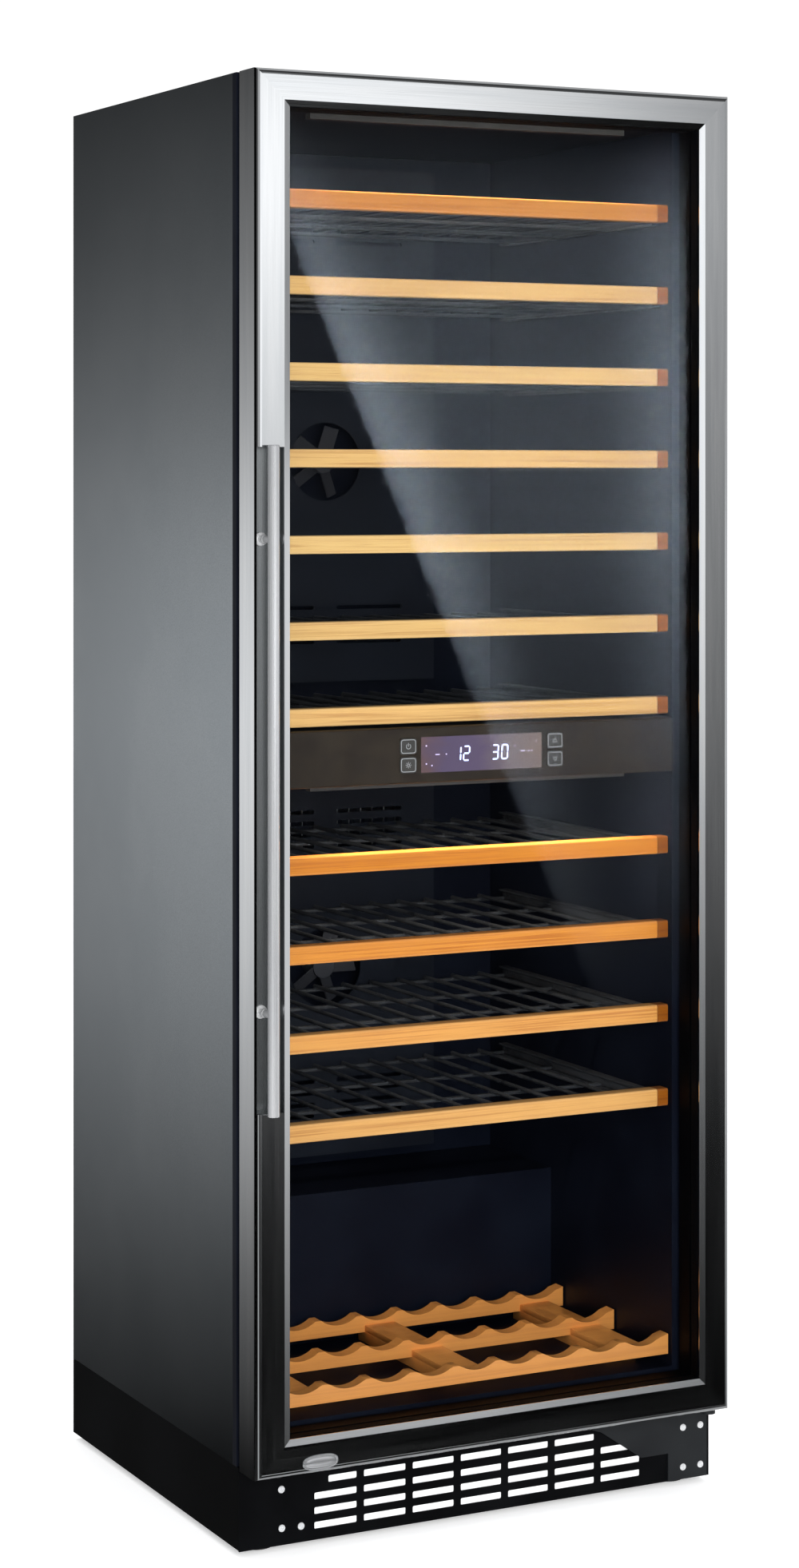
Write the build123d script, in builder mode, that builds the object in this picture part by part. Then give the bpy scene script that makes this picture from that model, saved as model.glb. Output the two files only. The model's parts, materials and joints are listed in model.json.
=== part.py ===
from build123d import *
import os
from math import cos, pi, sin

# Tall dual-zone wine cooler with a glazed, framed door hinged on the right.
# Millimetres. +Z is up, the door faces -Y, and the origin is on the floor at
# the middle of the overall width and depth.

os.makedirs("parts", exist_ok=True)

# ---------------------------------------------------------------- main sizes
width = 595.0
height = 1597.0
depth = 547.5  # front of the handle bar to the rear panel
handle_reach = 14.5  # handle bar in front of the door face
sheet = 1.5  # folded steel sheet
half = width / 2
inside = half - sheet  # inner faces of the side panels

# door
door_front = -depth / 2 + handle_reach
door_depth = 44.0
door_back = door_front + door_depth
door_bottom = 94.0
member_face = 33.0  # flat face of a door rail or stile
lip_width = 7.0  # bevelled lip that holds the glass
lip_drop = 1.8
lip_depth = 3.0
door_corner = 6.5  # rolled outer edge of the door skin
sight_inset = member_face + lip_width  # from the door's edge to the clear glass
glass_inset = sight_inset - 4.0  # the panes reach 4 mm under the lip
pane = 4.0
pane_gap = 12.0
outer_pane_front = door_front + lip_depth
inner_pane_front = outer_pane_front + pane + pane_gap
inner_pane_back = inner_pane_front + pane
gasket_depth = 7.8

# handle in its finger recess
notch_bottom = 484.0
notch_top = 1193.5
notch_left = -inside
notch_right = -half + member_face - 0.3
recess_depth = 27.0
tray_wall = 1.2
bar_radius = 6.5
bar_x = -281.0
bar_y = door_front - handle_reach + bar_radius
bar_overrun = 2.0
post_radius = 4.0
post_heights = (589.0, 1095.0)

# hinge line
hinge_x = 282.5
hinge_y = door_front + 22.0
hinge_pin_radius = 5.0
pin_clearance = 0.05
bush_radius = 8.0
bush_length = 17.0
arm_width = 16.0
arm_thickness = 5.0

# cabinet
cabinet_front = door_back + 8.0
rear = depth / 2
base_top = 97.0
flange = 2.0
hem = 10.0  # the liner's black front hem covers the front edges of the wrapper
liner_wall = 2.0
room_half = 252.0  # inside of the liner
room_bottom = 137.0
room_top = 1560.0
room_back = door_front + 489.0
step_front = door_front + 333.0  # the liner steps up over the compressor
step_top = 312.0
step_foam = 32.0
compressor_bay_top = step_top - liner_wall - step_foam

# shelves
shelf_half = 250.0
shelf_front = door_front + 57.0
shelf_board = 18.0
shelf_height = 20.0
upper_tops = [1475.0 - 94.4 * k for k in range(7)]
lower_tops = [747.2 - 97.0 * k for k in range(4)]
shelf_tops = upper_tops + lower_tops
rack_gap = 0.25  # glue line between the wooden front and the rack
rack_back = door_front + 440.0
rail_width = 6.0
rail_height = 10.0
rail_outer = 248.5
wire = 5.0
wire_count = 12
wire_pitch = 38.0
runner_play = 0.3
runner_reach = 241.0
runner_wall = 2.5

# partition and control panel
panel_front = door_front + 46.0
fascia_depth = 14.0
panel_bottom = 823.0
panel_top = 885.0
panel_middle = (panel_bottom + panel_top) / 2
display_size = (153.0, 39.4)
key_x = 93.0
key_rise = 10.3
key_size = (21.0, 18.0)
key_play = 0.3
key_front = panel_front - 1.2

# plinth grille
plinth_front = door_front + 45.0
slot_columns = [-182.0 + 60.1 * k for k in range(7)]
slot_rows = (22.5, 38.4, 54.3, 71.0)
slot_size = (51.5, 7.5)


# ------------------------------------------------------------------- helpers
def front_view(y):
    """Sketch plane at depth y as seen from the front: right is +X, up is +Z."""
    return Plane.XZ.offset(-y)


def slab(x, y, z, mode=Mode.ADD):
    """Rectangular slab between the limits x, y and z, in the part being built."""
    with BuildSketch(Plane.XY.offset(z[0])) as footprint:
        with Locations(((x[0] + x[1]) / 2, (y[0] + y[1]) / 2)):
            Rectangle(x[1] - x[0], y[1] - y[0])
    extrude(footprint.sketch, amount=z[1] - z[0], mode=mode)


def upright(x, y, z, radius, mode=Mode.ADD):
    """Round bar along Z."""
    with BuildSketch(Plane.XY.offset(z[0])) as disc:
        with Locations((x, y)):
            Circle(radius)
    extrude(disc.sketch, amount=z[1] - z[0], mode=mode)


def spindle(x, y, z, radius, mode=Mode.ADD):
    """Round bar along Y."""
    with BuildSketch(front_view(y[1])) as disc:
        with Locations((x, z)):
            Circle(radius)
    extrude(disc.sketch, amount=y[1] - y[0], mode=mode)


def crossbar(x, y, z, radius, mode=Mode.ADD):
    """Round bar along X."""
    with BuildSketch(Plane.YZ.offset(x[0])) as disc:
        with Locations((y, z)):
            Circle(radius)
    extrude(disc.sketch, amount=x[1] - x[0], mode=mode)


def door_ring(inset, y, mode=Mode.ADD):
    """Slab of the door's front outline, inset all round."""
    slab(
        (-half + inset, half - inset),
        y,
        (door_bottom + inset, height - inset),
        mode,
    )


def room_profile(grow, x, mode=Mode.ADD):
    """Stepped space inside the liner, grown outwards by a wall thickness."""
    outline = (
        (cabinet_front, room_bottom - grow),
        (step_front + grow, room_bottom - grow),
        (step_front + grow, step_top - grow),
        (room_back + grow, step_top - grow),
        (room_back + grow, room_top + grow),
        (cabinet_front, room_top + grow),
    )
    with BuildSketch(Plane.YZ) as side:
        with BuildLine():
            Polyline(*outline, close=True)
        make_face()
    extrude(side.sketch, amount=x, both=True, mode=mode)


def save(part, name):
    """Label a finished piece and write it as its own file."""
    part.label = name
    export_step(part, f"parts/{name}.step")


# ------------------------------------------------------------ door steelwork
# The skin is one folded shape; four mitred members are taken from it.
with BuildPart() as door_core:
    door_ring(sheet, (door_front + sheet, door_back))
    fillet(door_core.faces().sort_by(Axis.Y)[0].edges(), door_corner - sheet)

with BuildPart() as door_skin:
    door_ring(0, (door_front, door_back))
    fillet(door_skin.faces().sort_by(Axis.Y)[0].edges(), door_corner)
    add(door_core.part, mode=Mode.SUBTRACT)
    # glass lip: a thicker hem round the opening, bevelled in front
    door_ring(member_face - 0.3, (door_front + sheet, door_front + lip_depth))
    door_ring(sight_inset, (door_front, door_back), Mode.SUBTRACT)
    for inset, y in ((member_face, door_front), (sight_inset, door_front + lip_drop)):
        with BuildSketch(front_view(y)):
            with Locations((0, (door_bottom + height) / 2)):
                Rectangle(width - 2 * inset, height - door_bottom - 2 * inset)
    loft(mode=Mode.SUBTRACT)
    # finger recess behind the handle
    slab(
        (notch_left, notch_right),
        (door_front, door_front + sheet),
        (notch_bottom, notch_top),
        Mode.SUBTRACT,
    )
    slab(
        (notch_left, -half + door_corner),
        (door_front, door_front + door_corner),
        (notch_bottom, notch_top),
        Mode.SUBTRACT,
    )
    # room for the top hinge arm, open at the top, the back and the right
    slab(
        (hinge_x - 10.5, half),
        (door_front + 5, door_back),
        (height - 8, height),
        Mode.SUBTRACT,
    )
    # seat of the lower hinge bush
    upright(hinge_x, hinge_y, (door_bottom, door_bottom + 2), bush_radius, Mode.SUBTRACT)

mitre = 60.0  # the mitre cuts run past the inner edge of every member
corners = {
    "bottom_left": (-half, door_bottom),
    "bottom_right": (half, door_bottom),
    "top_left": (-half, height),
    "top_right": (half, height),
    "inner_bottom_left": (-half + mitre, door_bottom + mitre),
    "inner_bottom_right": (half - mitre, door_bottom + mitre),
    "inner_top_left": (-half + mitre, height - mitre),
    "inner_top_right": (half - mitre, height - mitre),
}
door_members = {
    "door_rail_top": ("top_left", "top_right", "inner_top_right", "inner_top_left"),
    "door_rail_bottom": (
        "bottom_left",
        "bottom_right",
        "inner_bottom_right",
        "inner_bottom_left",
    ),
    "door_stile_left": (
        "bottom_left",
        "top_left",
        "inner_top_left",
        "inner_bottom_left",
    ),
    "door_stile_right": (
        "bottom_right",
        "top_right",
        "inner_top_right",
        "inner_bottom_right",
    ),
}
for member_name, member_corners in door_members.items():
    with BuildPart() as member:
        add(door_skin.part)
        with BuildSketch(front_view(door_back)):
            with BuildLine():
                Polyline(*(corners[c] for c in member_corners), close=True)
            make_face()
        extrude(amount=door_depth, mode=Mode.INTERSECT)
    save(member.part, member_name)

# ------------------------------------------------------------- door interior
with BuildPart() as door_inner_frame:
    add(door_core.part)
    door_ring(member_face - 0.3, (door_front, outer_pane_front), Mode.SUBTRACT)
    door_ring(glass_inset, (outer_pane_front, inner_pane_back), Mode.SUBTRACT)
    door_ring(sight_inset, (inner_pane_back, door_back), Mode.SUBTRACT)
    slab(
        (notch_left, notch_right + tray_wall),
        (door_front, door_front + recess_depth + tray_wall),
        (notch_bottom - tray_wall, notch_top + tray_wall),
        Mode.SUBTRACT,
    )
    slab(
        (hinge_x - 10.5, half),
        (door_front + 5, door_back),
        (height - 8, height),
        Mode.SUBTRACT,
    )
    for z in (door_bottom, height - 8 - bush_length):
        upright(hinge_x, hinge_y, (z, z + bush_length), bush_radius, Mode.SUBTRACT)
save(door_inner_frame.part, "door_inner_frame")

with BuildPart() as outer_glass:
    door_ring(glass_inset, (outer_pane_front, outer_pane_front + pane))
save(outer_glass.part, "outer_glass")

with BuildPart() as inner_glass:
    door_ring(glass_inset, (inner_pane_front, inner_pane_back))
save(inner_glass.part, "inner_glass")

with BuildPart() as glass_spacer:
    door_ring(glass_inset, (outer_pane_front + pane, inner_pane_front))
    door_ring(
        sight_inset, (outer_pane_front + pane, inner_pane_front), Mode.SUBTRACT
    )
save(glass_spacer.part, "glass_spacer")

with BuildPart() as door_gasket:
    door_ring(19.5, (door_back, door_back + gasket_depth))
    fillet(door_gasket.faces().sort_by(Axis.Y)[-1].edges(), 3)
    door_ring(35.5, (door_back, door_back + gasket_depth), Mode.SUBTRACT)
save(door_gasket.part, "door_gasket")

# -------------------------------------------------------------------- handle
with BuildPart() as handle_pocket:
    slab(
        (notch_left, notch_right + tray_wall),
        (outer_pane_front, door_front + recess_depth + tray_wall),
        (notch_bottom - tray_wall, notch_top + tray_wall),
    )
    slab(
        (notch_left + tray_wall, notch_right),
        (outer_pane_front, door_front + recess_depth),
        (notch_bottom, notch_top),
        Mode.SUBTRACT,
    )
    # the tray stays behind the rolled edge of the skin
    slab(
        (notch_left, -half + door_corner),
        (outer_pane_front, door_front + door_corner),
        (notch_bottom - tray_wall, notch_top + tray_wall),
        Mode.SUBTRACT,
    )
save(handle_pocket.part, "handle_pocket")

post_front = bar_y + 3.5
with BuildPart() as handle_bar:
    upright(
        bar_x, bar_y, (notch_bottom - bar_overrun, notch_top + bar_overrun), bar_radius
    )
    chamfer(handle_bar.edges().filter_by(GeomType.CIRCLE), 0.8)
    for z in post_heights:
        spindle(bar_x, (post_front, door_front), z, post_radius, Mode.SUBTRACT)
save(handle_bar.part, "handle_bar")

with BuildPart() as handle_posts:
    for z in post_heights:
        spindle(bar_x, (post_front, door_front + recess_depth), z, post_radius)
save(handle_posts.part, "handle_posts")

with BuildPart() as name_plate:
    with BuildSketch(front_view(door_front)):
        with Locations((-222.0, 106.0)):
            RectangleRounded(42, 16, 6)
    extrude(amount=1.0)
    chamfer(name_plate.faces().sort_by(Axis.Y)[0].edges(), 0.4)
save(name_plate.part, "name_plate")

# -------------------------------------------------------------------- hinges
arm_low = door_bottom - 2.5 - arm_thickness
arm_high = height - 6.5
pin_reach = 16.0


def hinge_arm(z):
    """Flat arm from the cabinet's face to a round end on the hinge line."""
    slab(
        (hinge_x - arm_width / 2, hinge_x + arm_width / 2),
        (hinge_y, cabinet_front - 3),
        (z, z + arm_thickness),
    )
    upright(hinge_x, hinge_y, (z, z + arm_thickness), arm_width / 2)


with BuildPart() as hinge_bracket_bottom:
    hinge_arm(arm_low)
    # plate screwed on the right end of the plinth, cut away below the arm
    plate_outline = (
        (140, arm_low + arm_thickness),
        (293, arm_low + arm_thickness),
        (293, 8),
        (241, 8),
        (241, 40),
        (205, 40),
        (152, 76),
        (140, 80),
    )
    with BuildSketch(front_view(plinth_front)):
        with BuildLine():
            Polyline(*plate_outline, close=True)
        make_face()
    extrude(amount=3)
    # the arm ends at the plate, so nothing reaches into the plinth
    slab((140, 293), (plinth_front, cabinet_front), (0, door_bottom), Mode.SUBTRACT)
    upright(
        hinge_x,
        hinge_y,
        (arm_low + arm_thickness, arm_low + arm_thickness + pin_reach),
        hinge_pin_radius,
    )
save(hinge_bracket_bottom.part, "hinge_bracket_bottom")

with BuildPart() as hinge_bracket_top:
    hinge_arm(arm_high)
    slab(
        (279.5, inside), (cabinet_front - 3, cabinet_front), (1560, arm_high + arm_thickness)
    )
    slab(
        (hinge_x - arm_width / 2, inside),
        (cabinet_front - 3, cabinet_front),
        (1583, arm_high + arm_thickness),
    )
    upright(hinge_x, hinge_y, (arm_high - pin_reach, arm_high), hinge_pin_radius)
save(hinge_bracket_top.part, "hinge_bracket_top")

with BuildPart() as hinge_bushes:
    upright(hinge_x, hinge_y, (door_bottom - 2, door_bottom), bush_radius + 3)
    for z in (door_bottom, height - 8 - bush_length):
        upright(hinge_x, hinge_y, (z, z + bush_length), bush_radius)
    bore = hinge_pin_radius + pin_clearance
    for z in (door_bottom - 2, height - 8 - bush_length):
        upright(hinge_x, hinge_y, (z, z + bush_length + 2), bore, Mode.SUBTRACT)
save(hinge_bushes.part, "hinge_bushes")

# ------------------------------------------------------------- outer cabinet
for panel_name, x in (
    ("side_panel_left", (-half, -inside)),
    ("side_panel_right", (inside, half)),
):
    with BuildPart() as side_panel:
        slab(x, (cabinet_front + hem, rear), (base_top, height))
    save(side_panel.part, panel_name)

with BuildPart() as top_panel:
    slab(
        (-inside, inside), (cabinet_front + hem, rear - sheet), (height - sheet, height)
    )
save(top_panel.part, "top_panel")

inlet_x = -230.0
inlet_z = 60.0
inlet_size = (48.0, 28.0)
with BuildPart() as rear_panel:
    slab((-inside, inside), (rear - sheet, rear), (9.5, height))
    with BuildSketch(front_view(rear)):
        with Locations((0, 160)):
            with GridLocations(230, 22, 2, 8):
                SlotOverall(190, 8)
        with Locations((inlet_x, inlet_z)):
            Rectangle(*inlet_size)
    extrude(amount=sheet, mode=Mode.SUBTRACT)
save(rear_panel.part, "rear_panel")

foot_places = [(x, y) for x in (-262.0, 262.0) for y in (door_front + 80, rear - 45)]
with BuildPart() as base_tray:
    slab((-inside, inside), (plinth_front + sheet, rear), (8, 8 + sheet))
    for x in ((-half, -inside), (inside, half)):
        slab(x, (plinth_front + sheet, rear), (8, base_top))
    deck_back = step_front + liner_wall + step_foam
    slab(
        (-inside, inside),
        (cabinet_front + flange, deck_back),
        (base_top - sheet, base_top),
    )
    for x, y in foot_places:
        upright(x, y, (8, 8 + sheet), 5.2, Mode.SUBTRACT)
save(base_tray.part, "base_tray")

with BuildPart() as levelling_feet:
    for x, y in foot_places:
        upright(x, y, (0, 8), 19)
        upright(x, y, (8, 34), 5)
save(levelling_feet.part, "levelling_feet")

with BuildPart() as kick_grille:
    slab((-half, half), (plinth_front, plinth_front + sheet), (7, 92))
    slab((-215, 215), (plinth_front + sheet, plinth_front + 8), (84, 84 + sheet))
    slab((-215, 215), (plinth_front + sheet, plinth_front + 8), (12, 12 + sheet))
    with BuildSketch(front_view(plinth_front + sheet)):
        for x in slot_columns:
            for z in slot_rows:
                short = x == slot_columns[0] and z == slot_rows[-1]
                length = slot_size[0] - (17 if short else 0)
                last = x == slot_columns[-1] and z == slot_rows[-1]
                if not last:
                    with Locations((x + (slot_size[0] - length) / 2, z)):
                        RectangleRounded(length, slot_size[1], 1.5)
    extrude(amount=sheet, mode=Mode.SUBTRACT)
save(kick_grille.part, "kick_grille")

with BuildPart() as dust_filter:
    slab((-214, 214), (plinth_front + sheet, plinth_front + 7), (14, 83.5))
save(dust_filter.part, "dust_filter")

screw_radius = 4.0
left_screws = ((-247.5, 67.5), (-247.0, 25.5), (-224.0, 24.5))
right_screws = ((260.5, 67.5), (284.0, 67.5), (260.5, 22.0), (284.0, 22.0))
with BuildPart() as plinth_screws:
    for x, z in left_screws:
        spindle(x, (plinth_front - 2.2, plinth_front), z, screw_radius)
    for x, z in right_screws:
        spindle(x, (plinth_front - 5.2, plinth_front - 3), z, screw_radius)
    heads = plinth_screws.faces().filter_by(Axis.Y).sort_by(Axis.Y)
    for face in heads:
        if face.normal_at().Y < 0:
            fillet(face.edges(), 1.6)
save(plinth_screws.part, "plinth_screws")

# ------------------------------------------------------ insulation and liner
with BuildPart() as insulation_foam:
    slab(
        (-inside, inside),
        (cabinet_front + flange, rear - sheet),
        (base_top, height - sheet),
    )
    room_profile(liner_wall, room_half + liner_wall, Mode.SUBTRACT)
    slab(
        (-inside, inside), (deck_back, rear), (base_top, compressor_bay_top), Mode.SUBTRACT
    )
save(insulation_foam.part, "insulation_foam")

with BuildPart() as inner_liner:
    room_profile(liner_wall, room_half + liner_wall)
    slab((-half, half), (cabinet_front, cabinet_front + flange), (base_top, height))
    # hem folded back over the front edges of the wrapper
    for x in ((-half, -inside), (inside, half)):
        slab(x, (cabinet_front, cabinet_front + hem), (base_top, height))
    slab((-half, half), (cabinet_front, cabinet_front + hem), (height - sheet, height))
    room_profile(0, room_half, Mode.SUBTRACT)
save(inner_liner.part, "inner_liner")

# ----------------------------------------------- partition and control panel
pocket = ((-130.0, 130.0), (panel_bottom + 5, panel_top - 5))
with BuildPart() as zone_divider:
    slab(
        (-room_half, room_half), (panel_front + fascia_depth, room_back), (panel_bottom, panel_top)
    )
    slab(
        pocket[0],
        (panel_front + fascia_depth, panel_front + fascia_depth + 20),
        pocket[1],
        Mode.SUBTRACT,
    )
save(zone_divider.part, "zone_divider")

keys = {
    "key_power": (-key_x, panel_middle + key_rise),
    "key_light": (-key_x, panel_middle - key_rise),
    "key_up": (key_x, panel_middle + key_rise),
    "key_down": (key_x, panel_middle - key_rise),
}
with BuildPart() as control_fascia:
    slab(
        (-shelf_half, shelf_half),
        (panel_front, panel_front + fascia_depth),
        (panel_bottom, panel_top),
    )
    fillet(control_fascia.faces().sort_by(Axis.Y)[0].edges(), 2)
    slab(
        pocket[0],
        (panel_front + 3, panel_front + fascia_depth),
        pocket[1],
        Mode.SUBTRACT,
    )
    with BuildSketch(front_view(panel_front + 3)):
        with Locations((0, panel_middle)):
            Rectangle(display_size[0] + 0.6, display_size[1] + 0.6)
        for x, z in keys.values():
            with Locations((x, z)):
                RectangleRounded(
                    key_size[0] + 2 * key_play, key_size[1] + 2 * key_play, 4.3
                )
    extrude(amount=3, mode=Mode.SUBTRACT)
save(control_fascia.part, "control_fascia")

with BuildPart() as display_window:
    with BuildSketch(front_view(panel_front + 3)):
        with Locations((0, panel_middle)):
            Rectangle(*display_size)
    extrude(amount=2.6)
    slab(
        (-display_size[0] / 2, display_size[0] / 2),
        (panel_front + 3, panel_front + 4.5),
        (panel_middle - display_size[1] / 2 - 1.5, panel_middle + display_size[1] / 2 + 1.5),
    )
save(display_window.part, "display_window")

for key_name, (x, z) in keys.items():
    with BuildPart() as key:
        with BuildSketch(front_view(panel_front + 5)):
            with Locations((x, z)):
                RectangleRounded(*key_size, 4)
        extrude(amount=panel_front + 5 - key_front)
        fillet(key.faces().sort_by(Axis.Y)[0].edges(), 0.8)
        spindle(x, (panel_front + 5, panel_front + 13), z, 3)
    save(key.part, key_name)

board_front = panel_front + 17.0
with BuildPart() as control_board:
    slab(
        (-125, 125),
        (board_front, board_front + 1.6),
        (panel_bottom + 7, panel_top - 7),
    )
    slab(
        (-74, 74), (panel_front + 6, board_front), (panel_middle - 18, panel_middle + 18)
    )
    for x, z in keys.values():
        slab((x - 3, x + 3), (panel_front + 14.2, board_front), (z - 3, z + 3))
    for x in (-40, 5, 40):
        slab((x, x + 18), (board_front + 1.6, board_front + 9), (845, 865))
save(control_board.part, "control_board")

with BuildPart() as led_strips:
    for z in (room_top, panel_bottom):
        slab((-200, 200), (door_front + 72, door_front + 84), (z - 6, z))
save(led_strips.part, "led_strips")

# ------------------------------------------------------------------- shelves
slat_back = rack_back - rail_width
rack_front = shelf_front + shelf_board + rack_gap
for index, top in enumerate(shelf_tops):
    low = top - shelf_height
    with BuildPart() as shelf:
        # wooden front
        slab(
            (-shelf_half, shelf_half), (shelf_front, shelf_front + shelf_board), (low, top)
        )
        fillet(shelf.faces().sort_by(Axis.Y)[0].edges(), 1.5)
        # rack: two side rails, four cross bars and the wires that carry bottles
        for side in (-1, 1):
            rail = sorted((side * rail_outer, side * (rail_outer - rail_width)))
            slab(rail, (rack_front, rack_back), (low, low + rail_height))
        inner = rail_outer - rail_width
        bar_gap = (slat_back - rack_front) / 3
        for k in range(4):
            bar_start = rack_front + bar_gap * k
            slab((-inner, inner), (bar_start, bar_start + rail_width), (low, low + 4))
        for k in range(wire_count):
            x = wire_pitch * (k - (wire_count - 1) / 2)
            slab(
                (x - wire / 2, x + wire / 2), (rack_front, rack_back), (low + 4, low + 4 + wire)
            )
    save(shelf.part, f"shelf_{index + 1:02d}")

# channels on the liner's walls that the racks slide in
with BuildPart() as shelf_runners:
    for top in shelf_tops:
        low = top - shelf_height - runner_play
        high = low + rail_height + 2 * runner_play
        for side in (-1, 1):
            wall = sorted((side * room_half, side * (room_half - runner_wall)))
            reach = sorted((side * (room_half - runner_wall), side * runner_reach))
            along = (shelf_front + shelf_board + 3, rack_back + 6)
            slab(wall, along, (low - 2.5, high + 2))
            slab(reach, along, (low - 2.5, low))
            slab(reach, along, (high, high + 2))
save(shelf_runners.part, "shelf_runners")

# fixed wooden cradle on the floor of the lower zone
cradle_low = 150.0
cradle_high = 170.0
batten_high = 8.0
scallop_pitch = 54.0
scallop_radius = 38.0
scallop_floor = 162.0
cradle_back = step_front - 33.0
with BuildPart() as bottom_rack:
    for y in (shelf_front, (shelf_front + cradle_back) / 2, cradle_back):
        slab((-shelf_half, shelf_half), (y, y + shelf_board), (cradle_low, cradle_high))
    for k in range(-4, 5):
        spindle(
            k * scallop_pitch,
            (shelf_front, cradle_back + shelf_board),
            scallop_floor + scallop_radius,
            scallop_radius,
            Mode.SUBTRACT,
        )
    for x in (-210, 0, 210):
        slab(  # batten that ties the three boards together
            (x - 20, x + 20),
            (shelf_front + 4, cradle_back + shelf_board),
            (cradle_low, cradle_low + batten_high),
        )
        slab(  # foot, set back from the front board
            (x - 20, x + 20),
            (shelf_front + 40, cradle_back + shelf_board),
            (room_bottom, cradle_low),
        )
save(bottom_rack.part, "bottom_rack")

# ------------------------------------------------ air ducts and evaporators
duct_front = door_front + 449.0
duct_half = 150.0
duct_wall = 2.0
ducts = {
    "upper": {"z": (910.0, 1540.0), "fan_z": 1180.0},
    "lower": {"z": (330.0, 800.0), "fan_z": 560.0},
}
fan_hole = 48.0
with BuildPart() as duct_covers:
    for duct in ducts.values():
        low, high = duct["z"]
        slab((-duct_half, duct_half), (duct_front, room_back), (low, high))
        slab(
            (-duct_half + duct_wall, duct_half - duct_wall),
            (duct_front + duct_wall, room_back),
            (low + duct_wall, high - duct_wall),
            Mode.SUBTRACT,
        )
        spindle(0, (duct_front, duct_front + duct_wall), duct["fan_z"], fan_hole, Mode.SUBTRACT)
        with BuildSketch(front_view(duct_front + duct_wall)):
            for z in (low + 70, high - 70):
                with Locations((0, z)):
                    with GridLocations(120, 14, 2, 4):
                        SlotOverall(90, 5)
        extrude(amount=duct_wall, mode=Mode.SUBTRACT)
save(duct_covers.part, "duct_covers")

with BuildPart() as evaporator_coils:
    for duct in ducts.values():
        base = duct["fan_z"] + 70
        for k in range(16):
            x = -120 + 16 * k
            slab((x - 0.5, x + 0.5), (room_back - 24, room_back - 4), (base, base + 140))
        for z in (base + 25, base + 55, base + 85, base + 115):
            crossbar((-128, 128), room_back - 14, z, 4)
save(evaporator_coils.part, "evaporator_coils")

# ---------------------------------------------------------------------- fans
fan_blades = 5
blade_pitch = pi / 6


def rotor(x, z, y, hub, radius, shaft_back):
    """Axial fan rotor with its axis along Y and a shaft that enters the motor."""
    spindle(x, y, z, hub)
    spindle(x, (y[1], shaft_back), z, 2.5)
    chord = (y[1] - y[0] - 3) / sin(blade_pitch)
    for k in range(fan_blades):
        turn = 2 * pi * k / fan_blades
        radial = Vector(cos(turn), 0, sin(turn))
        across = Vector(-sin(turn), 0, cos(turn)) * cos(blade_pitch)
        across += Vector(0, sin(blade_pitch), 0)
        middle = Vector(x, (y[0] + y[1]) / 2, z)
        with BuildSketch(
            Plane(origin=middle + radial * (hub - 2), x_dir=across, z_dir=radial)
        ) as blade:
            Rectangle(chord, 2)
        extrude(blade.sketch, amount=radius - hub + 2)


def motor(x, z, y, radius):
    """Fan motor with a bore for the rotor's shaft."""
    spindle(x, y, z, radius)
    spindle(x, (y[0], y[0] + 10), z, 2.5 + pin_clearance, Mode.SUBTRACT)


evaporator_rotor = (duct_front + 4.5, duct_front + 16.5)
evaporator_motor = (evaporator_rotor[1] + 1.5, room_back)
for name, duct in ducts.items():
    with BuildPart() as fan:
        rotor(0, duct["fan_z"], evaporator_rotor, 14, 44, evaporator_motor[0] + 8)
    save(fan.part, f"evaporator_fan_{name}")

# condenser fan, compressor and coil in the base
shroud_x = -110.0
shroud_z = 140.0
shroud_y = (door_front + 400, door_front + 425)
condenser_rotor = (shroud_y[0] + 3, shroud_y[0] + 19)
condenser_motor = (shroud_y[0] + 21, shroud_y[0] + 43)
with BuildPart() as condenser_fan:
    rotor(shroud_x, shroud_z, condenser_rotor, 20, 57, condenser_motor[0] + 8)
save(condenser_fan.part, "condenser_fan")

with BuildPart() as fan_motors:
    for duct in ducts.values():
        motor(0, duct["fan_z"], evaporator_motor, 13)
    motor(shroud_x, shroud_z, condenser_motor, 19)
save(fan_motors.part, "fan_motors")

with BuildPart() as condenser_fan_shroud:
    slab(
        (shroud_x - 66, shroud_x + 66), shroud_y, (shroud_z - 66, shroud_z + 66)
    )
    spindle(shroud_x, shroud_y, shroud_z, 61, Mode.SUBTRACT)
    # three struts carry the motor; two legs stand on the base tray
    strut_y = (shroud_y[1] - 3, shroud_y[1])
    for k in range(3):
        turn = pi / 2 + 2 * pi * k / 3
        radial = Vector(cos(turn), 0, sin(turn))
        middle = Vector(shroud_x, (strut_y[0] + strut_y[1]) / 2, shroud_z)
        with BuildSketch(
            Plane(origin=middle + radial * 19.5, x_dir=(0, 1, 0), z_dir=radial)
        ):
            Rectangle(3, 6)
        extrude(amount=44)
    for x in (shroud_x - 60, shroud_x + 48):
        slab((x, x + 12), shroud_y, (8 + sheet, shroud_z - 66))
save(condenser_fan_shroud.part, "condenser_fan_shroud")

compressor_x = 150.0
compressor_y = door_front + 449.0
with BuildPart() as compressor:
    upright(compressor_x, compressor_y, (30, 190), 74)
    fillet(compressor.edges().filter_by(GeomType.CIRCLE), 34)
    slab(
        (compressor_x - 100, compressor_x + 100),
        (compressor_y - 55, compressor_y + 55),
        (26, 32),
    )
    for x in (compressor_x - 85, compressor_x + 85):
        for y in (compressor_y - 42, compressor_y + 42):
            upright(x, y, (8 + sheet, 26), 11)
    slab(
        (compressor_x - 98, compressor_x - 60),
        (compressor_y - 24, compressor_y + 24),
        (80, 135),
    )
save(compressor.part, "compressor")

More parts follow.
